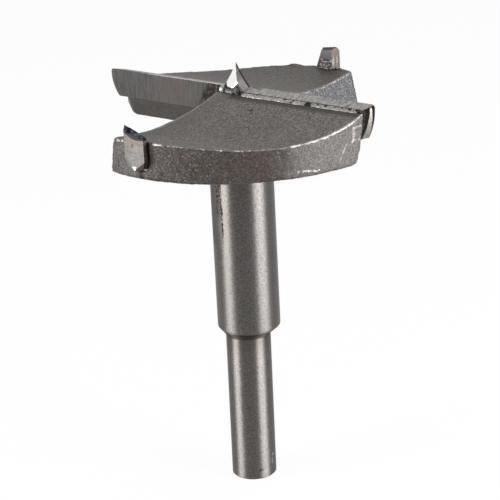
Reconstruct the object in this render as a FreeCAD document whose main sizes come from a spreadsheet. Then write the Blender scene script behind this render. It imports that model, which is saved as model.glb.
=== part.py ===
import FreeCAD, Part
import math
import os
import re
import Sketcher
from FreeCAD import Placement, Rotation, Vector

# Forstner bit with brazed carbide cutters, about 70 mm across, on a 10 mm shank.
# Z is the turning axis, z = 0 is the flat end of the shank, and the cutting edges lie along X.
# Seen from the point the bit cuts counter-clockwise: the point blade is at +X and leads towards +Y,
# the plain blade at -X is its half-turn copy, and the two scoring spurs stand at -Y and +Y.

doc = FreeCAD.newDocument("forstner_bit")
dims = doc.addObject("Spreadsheet::Sheet", "dims")

SIZES = [
    ("shank_radius", 5.0, "turned shank, held in the chuck"),
    ("shank_length", 34.25, "shank up to the shoulder cone"),
    ("shank_chamfer", 0.45, "chamfer round the shank's end"),
    ("stem_radius", 7.0, "thick stem between shank and head"),
    ("stem_length", 42.9, "stem from the shoulder cone to the head's underside"),
    ("root_radius", 3.0, "fillet where the stem runs into the head"),
    ("rim_radius", 34.0, "head at its underside"),
    ("rim_draft", 2.5, "forging draft of the rim, degrees"),
    ("rim_rounding", 0.8, "rounding of the rim's lower edge"),
    ("edge_height", 11.7, "cutting edges above the head's underside"),
    ("wing_floor", 6.85, "thinnest height of a wing"),
    ("wing_hollow", 56.0, "radius of the hollow in a wing's top"),
    ("hollow_offset", 22.0, "distance of the hollow's lowest line from the axis"),
    ("flank_tilt", 18.3, "tilt of the gullet flanks, degrees"),
    ("trailing_offset", 7.3, "trailing flank from the axis, at the underside"),
    ("trailing_skew", 1.75, "turn of the trailing flank away from the wing, degrees"),
    ("leading_offset", 4.15, "leading flank from the axis, at the underside"),
    ("gullet_radius", 1.5, "rounding of a gullet's inner corner"),
    ("face_lead", 0.7, "cutting face ahead of the axis"),
    ("blade_thickness", 2.7, "thickness of the carbide blades"),
    ("blade_proud", 1.35, "blade tips beyond the rim"),
    ("heel_drop", 0.6, "relief of the blade's top across its thickness"),
    ("end_relief", 1.0, "relief of the blade's end across its thickness"),
    ("end_level", 0.9, "widest place of a blade's end, below the cutting edge"),
    ("tip_rounding", 0.7, "rounding at the outer end of the cutting edge"),
    ("plain_height", 6.15, "height of the plain blade"),
    ("plain_end_radius", 8.0, "bow of the plain blade's outer end"),
    ("point_blade_height", 7.3, "height of the blade that carries the point"),
    ("point_end_radius", 13.0, "bow of the point blade's outer end"),
    ("point_height", 5.25, "centre point above the cutting edges"),
    ("point_half_width", 3.0, "half length of the point's block, along the blades"),
    ("point_shoulder", 0.3, "foot of the point's flank below the cutting edges"),
    ("point_flank_radius", 16.0, "hollow of the point's flanks"),
    ("gash_turn", 22.4, "turn of the gash beside the point, degrees"),
    ("gash_slope", 19.2, "slope of the gash beside the point, degrees"),
    ("gash_floor", 0.45, "end of the gash below the cutting edges"),
    ("spur_proud", 1.2, "spurs' outer faces beyond the rim"),
    ("spur_thickness", 2.2, "thickness of a spur, along the radius"),
    ("spur_trailing", 2.05, "trailing side of a spur from the axis plane"),
    ("spur_leading", 3.0, "leading side of a spur from the axis plane"),
    ("spur_foot", 2.05, "foot of a spur above the head's underside"),
    ("spur_trail_round", 2.6, "rounding of a spur's trailing lower corner"),
    ("spur_lead_round", 1.8, "rounding of a spur's leading lower corner"),
    ("spur_gap", 0.4, "braze gap on the leading side of a spur and under it"),
    ("spur_rise", 1.2, "whole spur's trailing corner above the cutting edges"),
    ("spur_fall", 0.7, "slope of the whole spur's top across its width"),
    ("spur_clearance", 0.75, "ground clearance of a spur's trailing inner corner"),
    ("clearance_foot", 1.0, "foot of that clearance above the thinnest place of a wing"),
    ("spur_facet_turn", 38.5, "turn of the whole spur's leading facet, degrees"),
    ("spur_facet_tilt", 26.0, "inward tilt of that facet, degrees"),
    ("spur_facet_height", 4.0, "start of that facet below the cutting edges"),
    ("worn_radius", 3.5, "hollow broken out of the front spur's top"),
    ("worn_offset", 1.4, "centre of that hollow from the axis plane"),
    ("worn_rise", 0.55, "centre of that hollow above the cutting edges"),
    ("seam_width", 0.75, "braze seam behind a blade, across the seam"),
    ("seam_drop", 0.1, "top of that seam below the blade's heel"),
    ("seam_end", 0.9, "end of that seam inside the rim"),
    ("filler_recess", 0.35, "braze in a spur's gap, inside the rim"),
    ("lump_width", 0.6, "braze lump behind the whole spur, along the radius"),
    ("lump_rise", 2.4, "height of that lump above the wing"),
    ("lump_length", 3.2, "length of that lump along the spur"),
    ("blank_rise", 4.0, "turned blank above the cutting edges, all of it cut away"),
    ("cut_past", 3.0, "reach of each cut beyond the surface that it opens"),
]

LEVELS = [
    ("head_base", "shank_length + stem_radius - shank_radius + stem_length"),
    ("edge_level", "head_base + edge_height"),
    ("head_top", "edge_level + blank_rise"),
    ("blade_reach", "rim_radius + blade_proud"),
    ("blade_back", "blade_thickness - face_lead"),
    ("plain_seat", "edge_level - plain_height"),
    ("point_seat", "edge_level - point_blade_height"),
    ("spur_reach", "rim_radius + spur_proud"),
    ("spur_back", "spur_reach - spur_thickness"),
    ("spur_base", "head_base + spur_foot"),
    ("flank_lean", "tan(flank_tilt)"),
    ("gash_lean", "tan(gash_slope) / cos(gash_turn)"),
    ("spur_facet_lean", "tan(spur_facet_tilt)"),
]

for row, (alias, value, meaning) in enumerate(SIZES, start=1):
    dims.set(f"A{row}", meaning)
    dims.set(f"B{row}", str(value))
    dims.setAlias(f"B{row}", alias)
for row, (alias, formula) in enumerate(LEVELS, start=len(SIZES) + 1):
    dims.set(f"A{row}", "worked out")
    dims.set(f"B{row}", "=" + formula)
    dims.setAlias(f"B{row}", alias)
doc.recompute()


def in_full(formula):
    """The formula with each alias written as a property of the sheet."""
    return re.sub(r"\b([a-z]+_[a-z_]+)\b", r"dims.\1", formula)


def size(formula):
    """The present value of a formula of aliases."""
    return float(dims.evalExpression(in_full(formula)))


def plane_of(body, role):
    return next(feature for feature in body.Origin.OriginFeatures if feature.Role == role)


def sketch_on(body, name, role, offset="0"):
    """An empty sketch on one of the body's own planes, moved along the plane's normal."""
    sketch = body.newObject("Sketcher::SketchObject", name)
    sketch.AttachmentSupport = [(plane_of(body, role), "")]
    sketch.MapMode = "FlatFace"
    sketch.setExpression("AttachmentOffset.Base.z", in_full(offset))
    doc.recompute()
    return sketch


def outline(sketch, corners):
    """A closed outline. A corner is (x, y), reached by a straight line, or (x, y, radius, turn),
    reached by an arc that turns left for turn 1 and right for turn -1. All are formulas."""
    places = [Vector(size(corner[0]), size(corner[1]), 0) for corner in corners]
    first = sketch.GeometryCount
    starts = []
    ends = []
    for index, corner in enumerate(corners):
        begin = places[index - 1]
        finish = places[index]
        if len(corner) == 2:
            sketch.addGeometry(Part.LineSegment(begin, finish), False)
            starts.append(1)
            ends.append(2)
            continue
        radius = size(corner[2])
        turn = corner[3]
        chord = finish - begin
        rise = math.sqrt(max(radius ** 2 - chord.Length ** 2 / 4, 0.0))
        across = Vector(-chord.y, chord.x, 0).normalize()
        centre = (begin + finish) * 0.5 + across * (turn * rise)
        low = begin if turn > 0 else finish
        high = finish if turn > 0 else begin
        angles = [math.atan2(end.y - centre.y, end.x - centre.x) for end in (low, high)]
        if angles[1] <= angles[0]:
            angles[1] += 2 * math.pi
        arc = Part.ArcOfCircle(Part.Circle(centre, Vector(0, 0, 1), radius), angles[0], angles[1])
        sketch.addGeometry(arc, False)
        starts.append(1 if turn > 0 else 2)
        ends.append(2 if turn > 0 else 1)
    count = len(corners)
    for index, corner in enumerate(corners):
        after = (index + 1) % count
        sketch.addConstraint(Sketcher.Constraint(
            "Coincident", first + index, ends[index], first + after, starts[after]))
        for kind, axis in (("DistanceX", 0), ("DistanceY", 1)):
            value = (places[index].x, places[index].y)[axis]
            number = sketch.addConstraint(Sketcher.Constraint(kind, first + index, ends[index], value))
            sketch.setExpression(f"Constraints[{number}]", in_full(corner[axis]))
        if len(corner) == 4:
            number = sketch.addConstraint(Sketcher.Constraint("Radius", first + index, size(corner[2])))
            sketch.setExpression(f"Constraints[{number}]", in_full(corner[2]))
    return sketch


def through(body, kind, name, sketch, length):
    """A Pad or Pocket that reaches to both sides of its sketch."""
    feature = body.newObject("PartDesign::" + kind, name)
    feature.Profile = sketch
    feature.Midplane = True
    feature.setExpression("Length", in_full(length))
    body.Tip = feature
    doc.recompute()
    return feature


def one_way(body, kind, name, sketch, length, reverse=False):
    """A Pad or Pocket to one side of its sketch: a pad goes along the normal, a pocket against it."""
    feature = body.newObject("PartDesign::" + kind, name)
    feature.Profile = sketch
    feature.Reversed = reverse
    feature.setExpression("Length", in_full(length))
    body.Tip = feature
    doc.recompute()
    return feature


def slanted(body, name, sketch, height, lean_x, lean_y):
    """A Pocket that rises from a level sketch by a height and leans as it goes, per unit of height."""
    feature = body.newObject("PartDesign::Pocket", name)
    feature.Profile = sketch
    feature.UseCustomVector = True
    feature.AlongSketchNormal = True
    feature.Direction = Vector(size(lean_x), size(lean_y), 1)
    feature.setExpression("Direction.x", in_full(lean_x))
    feature.setExpression("Direction.y", in_full(lean_y))
    feature.setExpression("Length", in_full(height))
    body.Tip = feature
    doc.recompute()
    return feature


def half_turn(body, name, originals):
    """Repeats features on the other side of the turning axis."""
    pattern = body.newObject("PartDesign::PolarPattern", name)
    pattern.Originals = originals
    pattern.Axis = (plane_of(body, "Z_Axis"), [""])
    pattern.Angle = 360
    pattern.Occurrences = 2
    body.Tip = pattern
    doc.recompute()
    return pattern


def new_body(label):
    body = doc.addObject("PartDesign::Body", label)
    body.Label = label
    return body


# Steel body: shank, stem and two-winged head are one forging, turned below the head.
steel = new_body("bit_body")
profile = outline(sketch_on(steel, "turned_profile", "XZ_Plane"), [
    ("0", "0"),
    ("shank_radius - shank_chamfer", "0"),
    ("shank_radius", "shank_chamfer"),
    ("shank_radius", "shank_length"),
    ("stem_radius", "shank_length + stem_radius - shank_radius"),
    ("stem_radius", "head_base - root_radius"),
    ("stem_radius + root_radius", "head_base", "root_radius", -1),
    ("rim_radius - rim_rounding", "head_base"),
    ("rim_radius", "head_base + rim_rounding", "rim_rounding", 1),
    ("rim_radius + tan(rim_draft) * (head_top - head_base - rim_rounding)", "head_top"),
    ("0", "head_top"),
])
turned = steel.newObject("PartDesign::Revolution", "turned_blank")
turned.Profile = profile
turned.ReferenceAxis = (profile, ["V_Axis"])
turned.Angle = 360
steel.Tip = turned
doc.recompute()


# Wing tops: two hollows that run along the blades and meet in a ridge under them.
def wing_top(distance):
    """Level of a wing's top at a distance from the blades' plane."""
    return f"head_base + wing_floor + wing_hollow - sqrt(wing_hollow^2 - ({distance} - hollow_offset)^2)"


hollow_reach = "rim_radius + cut_past"
hollows = outline(sketch_on(steel, "wing_hollows", "YZ_Plane"), [
    (f"-({hollow_reach})", wing_top(hollow_reach)),
    ("0", wing_top("0"), "wing_hollow", 1),
    (hollow_reach, wing_top(hollow_reach), "wing_hollow", 1),
    (hollow_reach, "head_top + cut_past"),
    (f"-({hollow_reach})", "head_top + cut_past"),
])
through(steel, "Pocket", "wing_tops", hollows, "2 * (rim_radius + cut_past)")

# Blade seats: one slot across the head, with a deeper floor under the blade that carries the point.
slot = outline(sketch_on(steel, "blade_seats", "XZ_Plane"), [
    ("-(rim_radius + cut_past)", "plain_seat"),
    ("-point_half_width", "plain_seat"),
    ("-point_half_width", "point_seat"),
    ("rim_radius + cut_past", "point_seat"),
    ("rim_radius + cut_past", "head_top + cut_past"),
    ("-(rim_radius + cut_past)", "head_top + cut_past"),
])
through(steel, "Pocket", "blade_slot", slot, "2 * blade_back")


# Gullets: a quarter of the head is open ahead of each blade, with flanks that tilt the same way.
far = "-(rim_radius + 4 * cut_past)"
quarter = outline(sketch_on(steel, "gullet_plan", "XY_Plane", "head_base"), [
    (far, far),
    (f"-trailing_offset + {far} * tan(trailing_skew)", far),
    ("-trailing_offset", "0"),
    ("-trailing_offset", "leading_offset - gullet_radius"),
    ("-trailing_offset - gullet_radius", "leading_offset", "gullet_radius", 1),
    (far, "leading_offset"),
])
gullet = slanted(steel, "gullet", quarter, "head_top - head_base + cut_past", "flank_lean", "-flank_lean")


# Spur seats: tongue-shaped notches in the rim, opposite each other.
def tongue(gap, top_corners):
    """A spur's outline, seen from outside. The gap widens its leading side and its foot."""
    foot = f"spur_base - {gap}"
    lead = f"spur_leading + {gap}"
    return [
        ("-spur_trailing", f"{foot} + spur_trail_round"),
        ("spur_trail_round - spur_trailing", foot, "spur_trail_round", 1),
        (f"{lead} - spur_lead_round", foot),
        (lead, f"{foot} + spur_lead_round", "spur_lead_round", 1),
    ] + top_corners


seat = outline(sketch_on(steel, "spur_seat", "XZ_Plane", "spur_back"), tongue("spur_gap", [
    ("spur_leading + spur_gap", "head_top"),
    ("-spur_trailing", "head_top"),
]))
notch = one_way(steel, "Pocket", "spur_notch", seat, "spur_thickness + cut_past", reverse=True)
half_turn(steel, "both_sides", [gullet, notch])


# Blades: flat carbide plates. The cutting face is the largest outline, and the top and the outer end
# fall back from it. Drawn on the +X side with the cutting face towards +Y.
def blade_outline(height, bow, drop, relief):
    """A blade's outline at one depth: drop lowers its top and relief draws in its outer end."""
    top = f"edge_level - {drop}"
    widest = "edge_level - end_level"
    bottom = f"edge_level - {height}"
    reach = f"blade_reach - {relief}"
    toe = f"{reach} - {bow} + sqrt({bow}^2 - ({height} - end_level)^2)"
    return [
        ("point_half_width", bottom),
        (toe, bottom),
        (reach, widest, bow, 1),
        (reach, f"{top} - tip_rounding"),
        (f"{reach} - tip_rounding", top, "tip_rounding", 1),
        ("point_half_width", top),
    ]


def blade_plate(body, height, bow):
    face = outline(sketch_on(body, body.Label + "_face", "XZ_Plane", "-face_lead"),
                   blade_outline(height, bow, "0", "0"))
    back = outline(sketch_on(body, body.Label + "_back", "XZ_Plane", "blade_back"),
                   blade_outline(height, bow, "heel_drop", "end_relief"))
    plate = body.newObject("PartDesign::AdditiveLoft", body.Label + "_plate")
    plate.Profile = face
    plate.Sections = [back]
    plate.Ruled = True
    body.Tip = plate
    doc.recompute()


plain = new_body("plain_blade")
blade_plate(plain, "plain_height", "plain_end_radius")
plain.Placement = Placement(Vector(0, 0, 0), Rotation(Vector(0, 0, 1), 180))

pointed = new_body("point_blade")
blade_plate(pointed, "point_blade_height", "point_end_radius")
half = "point_half_width"
shoulder = "edge_level - point_shoulder"
point = outline(sketch_on(pointed, "point_outline", "XZ_Plane"), [
    (f"-{half}", "point_seat"),
    (half, "point_seat"),
    (half, shoulder),
    ("0", "edge_level + point_height", "point_flank_radius", -1),
    (f"-{half}", shoulder, "point_flank_radius", -1),
])
through(pointed, "Pad", "point_block", point, "2 * blade_back")


# Gashes: the point's block is ground back to its tip on both sides, which leaves four facets.
gash_wide = "2 * point_half_width"
gash_foot = "(point_height + gash_floor) * gash_lean"
ground = outline(sketch_on(pointed, "gash_plan", "XY_Plane", "edge_level - gash_floor"), [
    (f"-{gash_wide}", "-(blade_back + 2 * cut_past)"),
    (gash_wide, "-(blade_back + 2 * cut_past)"),
    (gash_wide, f"-tan(gash_turn) * {gash_wide} - {gash_foot}"),
    (f"-{gash_wide}", f"tan(gash_turn) * {gash_wide} - {gash_foot}"),
])
gash = slanted(pointed, "gash", ground, "point_height + gash_floor + cut_past", "0", "gash_lean")
half_turn(pointed, "both_gashes", [gash])


# Scoring spurs: carbide tongues in the rim notches, proud of the rim. Drawn at -Y.
def spur(label, top_corners):
    body = new_body(label)
    plan = outline(sketch_on(body, label + "_plan", "XY_Plane", "spur_base"), [
        ("-spur_trailing", "-spur_back"),
        ("-spur_trailing", "-sqrt(spur_reach^2 - spur_trailing^2)"),
        ("spur_leading", "-sqrt(spur_reach^2 - spur_leading^2)", "spur_reach", 1),
        ("spur_leading", "-spur_back"),
    ])
    one_way(body, "Pad", label + "_blank", plan, "edge_level + spur_rise - spur_base")
    ring = sketch_on(body, label + "_waste", "XZ_Plane", "spur_back - cut_past")
    outline(ring, [
        ("-spur_leading - cut_past", "spur_base - cut_past"),
        ("spur_leading + cut_past", "spur_base - cut_past"),
        ("spur_leading + cut_past", "head_top + cut_past"),
        ("-spur_leading - cut_past", "head_top + cut_past"),
    ])
    outline(ring, tongue("0", top_corners))
    one_way(body, "Pocket", label + "_tongue", ring, "spur_thickness + 2 * cut_past", reverse=True)
    return body


worn_level = "edge_level + worn_rise"
front_spur = spur("front_spur", [
    ("spur_leading", f"{worn_level} - sqrt(worn_radius^2 - (spur_leading - worn_offset)^2)"),
    ("-spur_trailing", f"{worn_level} - sqrt(worn_radius^2 - (spur_trailing + worn_offset)^2)",
     "worn_radius", -1),
])
rear_spur = spur("rear_spur", [
    ("spur_leading", "edge_level + spur_rise - spur_fall"),
    ("-spur_trailing", "edge_level + spur_rise"),
])

# Both spurs are ground clear on the inner side of their trailing edge, above the wing.
for body in (front_spur, rear_spur):
    corner = outline(sketch_on(body, body.Label + "_clearance", "XY_Plane", "head_top"), [
        ("-spur_trailing", "-spur_reach"),
        ("spur_clearance - spur_trailing", "-spur_back"),
        ("spur_clearance - spur_trailing", "cut_past - spur_back"),
        ("-spur_trailing - cut_past", "cut_past - spur_back"),
        ("-spur_trailing - cut_past", "-spur_reach"),
    ])
    one_way(body, "Pocket", body.Label + "_ground", corner,
            "head_top - head_base - wing_floor - clearance_foot")


# The whole spur also has a facet on the inner side of its leading edge, deepest at the top.
facet_low = "edge_level - spur_facet_height"
facet_in = "spur_leading + spur_facet_lean * spur_facet_height - tan(spur_facet_turn) * spur_thickness"
facet = outline(sketch_on(rear_spur, "facet_plan", "XY_Plane", facet_low), [
    (f"{facet_in} - tan(spur_facet_turn) * cut_past", "cut_past - spur_back"),
    (f"{facet_in} + tan(spur_facet_turn) * spur_thickness", "-spur_reach"),
    (f"{facet_in} + 4 * spur_leading", "-spur_reach"),
    (f"{facet_in} + 4 * spur_leading", "cut_past - spur_back"),
])
slanted(rear_spur, "leading_facet", facet, "spur_facet_height + spur_rise + cut_past",
        "-spur_facet_lean", "0")
rear_spur.Placement = Placement(Vector(0, 0, 0), Rotation(Vector(0, 0, 1), 180))


# Braze: a seam behind each blade, between the wing's top and the carbide. Drawn behind the point blade.
def seam(label):
    body = new_body(label)
    section = outline(sketch_on(body, label + "_section", "YZ_Plane", "point_half_width"), [
        ("-blade_back", wing_top("blade_back")),
        ("-blade_back", "edge_level - heel_drop - seam_drop"),
        ("-blade_back - seam_width", wing_top("blade_back + seam_width")),
    ])
    one_way(body, "Pad", label + "_run", section, "rim_radius - seam_end - point_half_width")
    return body


# More braze fills the gap on the leading side of each spur and under it, up to the wing's top.
def filler(label):
    body = new_body(label)
    section = outline(sketch_on(body, label + "_section", "XZ_Plane", "spur_back"), tongue("spur_gap", [
        ("spur_leading + spur_gap", wing_top("spur_back")),
        ("spur_leading", wing_top("spur_back")),
        ("spur_leading", "spur_base + spur_lead_round"),
        ("spur_leading - spur_lead_round", "spur_base", "spur_lead_round", -1),
        ("spur_trail_round - spur_trailing", "spur_base"),
        ("-spur_trailing", "spur_base + spur_trail_round", "spur_trail_round", -1),
    ]))
    one_way(body, "Pad", label + "_fill", section, "rim_radius - filler_recess - spur_back")
    return body


point_braze = seam("point_braze")
plain_braze = seam("plain_braze")
front_braze = filler("front_braze")
rear_braze = filler("rear_braze")

# A lump of braze was left on the wing behind the whole spur.
rear_lump = new_body("rear_lump")
wedge = outline(sketch_on(rear_lump, "lump_section", "YZ_Plane", "spur_clearance - spur_trailing"), [
    ("-spur_back", wing_top("spur_back")),
    ("lump_width - spur_back", wing_top("spur_back - lump_width"), "wing_hollow", 1),
    ("-spur_back", f"{wing_top('spur_back')} + lump_rise"),
])
one_way(rear_lump, "Pad", "lump", wedge, "lump_length")
for body in (plain_braze, rear_braze, rear_lump):
    body.Placement = Placement(Vector(0, 0, 0), Rotation(Vector(0, 0, 1), 180))

doc.recompute()
pieces = [steel, pointed, plain, front_spur, rear_spur,
          point_braze, plain_braze, front_braze, rear_braze, rear_lump]
for item in doc.Objects:
    if "Invalid" in item.State or "Error" in item.State:
        raise SystemExit(f"{item.Label} did not build: {item.State}")
os.makedirs("parts", exist_ok=True)
for piece in pieces:
    shape = piece.Shape
    if shape.isNull() or not shape.isValid() or len(shape.Solids) != 1:
        raise SystemExit(f"{piece.Label} is not one valid solid")
    print(f"{piece.Label}: {shape.Volume:.1f} mm3, box {shape.BoundBox}")
    shape.exportStep(f"parts/{piece.Label}.step")
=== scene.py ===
# Forstner bit with brazed carbide cutters, standing on its shank. Metres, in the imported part's frame:
# +Z up the turning axis, the blade with the centre point along +X, the scoring spurs at -Y and +Y.
import math

import bpy
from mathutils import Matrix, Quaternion, Vector


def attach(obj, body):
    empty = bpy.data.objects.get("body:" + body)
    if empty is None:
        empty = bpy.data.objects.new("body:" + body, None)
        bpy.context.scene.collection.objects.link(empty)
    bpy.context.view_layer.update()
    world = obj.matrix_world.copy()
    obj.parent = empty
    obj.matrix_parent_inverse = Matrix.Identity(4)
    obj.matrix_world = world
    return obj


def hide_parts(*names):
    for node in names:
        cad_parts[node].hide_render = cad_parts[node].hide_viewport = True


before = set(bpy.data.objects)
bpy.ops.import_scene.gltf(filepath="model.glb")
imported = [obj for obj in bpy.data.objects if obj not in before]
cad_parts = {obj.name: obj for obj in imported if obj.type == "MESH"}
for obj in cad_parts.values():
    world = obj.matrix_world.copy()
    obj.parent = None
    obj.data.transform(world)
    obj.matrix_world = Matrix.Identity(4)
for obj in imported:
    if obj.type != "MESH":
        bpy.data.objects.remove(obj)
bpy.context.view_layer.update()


# Camera: a long lens from above the front, rolled a little, as the object was photographed.
mm = 0.001
camera_aim = Vector((0.78, 0.62, 53.41)) * mm
camera_distance = 462.16 * mm
camera_azimuth = math.radians(38.6)
camera_elevation = math.radians(18.845)
camera_roll = math.radians(-2.881)
camera_lens = 150.81

back = Vector((
    math.sin(camera_azimuth) * math.cos(camera_elevation),
    -math.cos(camera_azimuth) * math.cos(camera_elevation),
    math.sin(camera_elevation),
))
bpy.ops.object.select_all(action="DESELECT")
bpy.ops.object.camera_add(location=camera_aim + back * camera_distance)
camera = bpy.context.object
camera.data.lens = camera_lens
camera.data.clip_start = 10 * mm
camera.rotation_mode = "QUATERNION"
camera.rotation_quaternion = (-back).to_track_quat("-Z", "Y") @ Quaternion((0, 0, 1), camera_roll)
bpy.context.scene.camera = camera
bpy.context.scene.view_settings.view_transform = "Standard"


# Studio: a white sweep and sky for the camera and for the steel's reflections, a dimmer sky for the
# rest of the light, and three softboxes. The left and right ones draw the bright bands on the shank.
class Wire:
    """An output socket. Arithmetic on it adds the Math nodes."""

    def __init__(self, finish, socket):
        self.finish = finish
        self.socket = socket

    def __add__(self, other):
        return self.finish.math("ADD", self, other)

    def __sub__(self, other):
        return self.finish.math("SUBTRACT", self, other)

    def __rsub__(self, other):
        return self.finish.math("SUBTRACT", other, self)

    def __mul__(self, other):
        return self.finish.math("MULTIPLY", self, other)

    def __abs__(self):
        return self.finish.math("ABSOLUTE", self)

    __radd__ = __add__
    __rmul__ = __mul__


class Finish:
    """The nodes of one material or of the sky."""

    def __init__(self, tree):
        self.tree = tree
        self.tree.nodes.clear()

    def make(self, kind, settings=None, sockets=None):
        node = self.tree.nodes.new(kind)
        for key, value in (settings or {}).items():
            setattr(node, key, value)
        for key, value in (sockets or {}).items():
            if isinstance(value, Wire):
                self.tree.links.new(value.socket, node.inputs[key])
            else:
                node.inputs[key].default_value = value
        return node

    def wire(self, node, output=0):
        return Wire(self, node.outputs[output])

    def math(self, operation, *values, clamp=False):
        node = self.make("ShaderNodeMath", {"operation": operation, "use_clamp": clamp},
                         dict(enumerate(values)))
        return self.wire(node)

    def clamped(self, value):
        return self.math("ADD", value, 0.0, clamp=True)

    def ramp(self, value, low, high):
        """0 below low and 1 above high, or the other way round where low is the larger."""
        node = self.make("ShaderNodeMapRange", {"interpolation_type": "SMOOTHSTEP"},
                         {0: value, 1: low, 2: high, 3: 0.0, 4: 1.0})
        return self.wire(node)

    def mix(self, mask, under, over):
        """Colour under, covered by colour over where the mask is 1."""
        node = self.make("ShaderNodeMix", {"data_type": "RGBA"}, {0: mask, 6: under, 7: over})
        return self.wire(node, 2)

    def place(self):
        """The spot on the object in millimetres: the vector, then its x, y and z."""
        spot = self.wire(self.make("ShaderNodeTexCoord"), "Object")
        scaled = self.wire(self.make("ShaderNodeVectorMath", {"operation": "SCALE"},
                                     {0: spot, 3: 1 / mm}))
        parts = self.make("ShaderNodeSeparateXYZ", None, {0: scaled})
        return [scaled] + [self.wire(parts, axis) for axis in range(3)]

    def facing(self, smooth=False):
        """The x, y and z of the way the surface faces, each face by itself or smoothed."""
        kind = "Normal" if smooth else "True Normal"
        normal = self.wire(self.make("ShaderNodeNewGeometry"), kind)
        parts = self.make("ShaderNodeSeparateXYZ", None, {0: normal})
        return [self.wire(parts, axis) for axis in range(3)]

    def stretched(self, spot, turn, stretch):
        """The spot seen in a frame that is turned and stretched, for marks that run one way."""
        node = self.make("ShaderNodeMapping", {"vector_type": "POINT"},
                         {0: spot, 2: [math.radians(angle) for angle in turn], 3: stretch})
        return self.wire(node)

    def noise(self, spot, size_mm, detail=3.0, roughness=0.6):
        """Cloudy noise round 0.5 with grains of that size."""
        node = self.make("ShaderNodeTexNoise", None, {
            "Vector": spot, "Scale": 1 / size_mm, "Detail": detail, "Roughness": roughness})
        return self.wire(node)

    def dots(self, spot, gap_mm, share):
        """Small round dots about that far apart, in that share of the places."""
        node = self.make("ShaderNodeTexVoronoi", None, {"Vector": spot, "Scale": 1 / gap_mm})
        round_dot = self.ramp(self.wire(node, "Distance"), 0.48, 0.18)
        chance = 0.53 - share * 0.5
        return round_dot * self.ramp(self.wire(node, "Color"), chance, chance + 0.22)

    def blob(self, spot, centre, reach, ragged=0.0):
        """1 round a centre and 0 beyond the reach along each axis, with a ragged border."""
        offset = self.wire(self.make("ShaderNodeVectorMath", {"operation": "SUBTRACT"},
                                     {0: spot, 1: centre}))
        share = self.wire(self.make("ShaderNodeVectorMath", {"operation": "DIVIDE"},
                                    {0: offset, 1: reach}))
        length = self.make("ShaderNodeVectorMath", {"operation": "LENGTH"}, {0: share})
        distance = self.wire(length, 1)
        if ragged:
            distance = distance + (self.noise(spot, 0.5, 2.0, 0.6) - 0.5) * ragged
        return self.ramp(distance, 1.0, 0.7)

    def bump(self, height, depth_mm):
        """A normal that follows a height from 0 to 1, which stands for that depth."""
        return self.wire(self.make("ShaderNodeBump", None, {
            "Height": height, "Distance": depth_mm * mm, "Strength": 1.0}))

    def shader(self, sockets):
        surface = self.wire(self.make("ShaderNodeBsdfPrincipled", None, sockets))
        self.make("ShaderNodeOutputMaterial", None, {0: surface})


def new_finish(name):
    material = bpy.data.materials.new(name)
    material.use_nodes = True
    return material, Finish(material.node_tree)


def seen_white(finish):
    """1 for rays that show the background: those of the camera and those reflected or let through."""
    rays = finish.make("ShaderNodeLightPath")
    seen = finish.wire(rays, "Is Camera Ray") + finish.wire(rays, "Is Glossy Ray")
    return finish.clamped(seen + finish.wire(rays, "Is Transmission Ray"))


sky_light = 0.35
sky = bpy.data.worlds.new("studio_sky")
sky.use_nodes = True
bpy.context.scene.world = sky
sky_finish = Finish(sky.node_tree)
sky_seen = seen_white(sky_finish)
sky_level = sky_seen * (1 - sky_light) + sky_light
sky_glow = sky_finish.make("ShaderNodeBackground", None, {0: (1, 1, 1, 1), 1: sky_level})
sky_finish.make("ShaderNodeOutputWorld", None, {0: sky_finish.wire(sky_glow)})

floor_size = 6.0
floor_white = 0.94
bpy.ops.mesh.primitive_plane_add(size=floor_size, location=(0, 0, 0))
floor = bpy.context.object
floor.name = "studio_floor"
floor_material, floor_finish = new_finish("floor_paper")
floor_glow = floor_finish.make("ShaderNodeEmission", None, {0: (1, 1, 1, 1), 1: 1.0})
floor_paint = floor_finish.make("ShaderNodeBsdfDiffuse", None, {0: (0.9, 0.9, 0.9, 1)})
floor_mask = seen_white(floor_finish) * floor_white
floor_mixed = floor_finish.make("ShaderNodeMixShader", None, {
    0: floor_mask, 1: floor_finish.wire(floor_paint), 2: floor_finish.wire(floor_glow)})
floor_finish.make("ShaderNodeOutputMaterial", None, {0: floor_finish.wire(floor_mixed)})
floor.data.materials.append(floor_material)

# Each softbox: turn from the camera's side, height angle, distance, width, height and power.
softboxes = {
    "softbox_left": (-69, 3, 0.50, 0.26, 0.15, 4.6),
    "softbox_right": (58, 3, 0.50, 0.33, 0.15, 6.1),
    "softbox_top": (150, 62, 0.60, 0.40, 0.40, 0.9),
}
for name, (turn, rise, distance, width, height, power) in softboxes.items():
    angle = camera_azimuth + math.radians(turn)
    level = math.radians(rise)
    towards = Vector((math.sin(angle) * math.cos(level), -math.cos(angle) * math.cos(level),
                      math.sin(level)))
    bpy.ops.object.light_add(type="AREA", location=camera_aim + towards * distance)
    lamp = bpy.context.object
    lamp.name = name
    lamp.data.shape = "RECTANGLE"
    lamp.data.size = width
    lamp.data.size_y = height
    lamp.data.energy = power
    lamp.visible_camera = False
    lamp.rotation_euler = (-towards).to_track_quat("-Z", "Y").to_euler()


# Head: the two wings of the steel forging, turned below and cut away in front of each blade. Its skin is
# shot-blasted, with brown oxide on the rim, and the upper edges are worn to bare metal. The solid's mesh
# is remeshed finely, so that its edges soften and its skin becomes a little uneven.
head_base = 79.15
rim_radius = 34.0
rim_lean = math.tan(math.radians(2.5))
head_cut = 76.4
head_voxel = 0.30
wing_floor = 6.85
wing_hollow = 56.0
hollow_offset = 22.0


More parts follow.
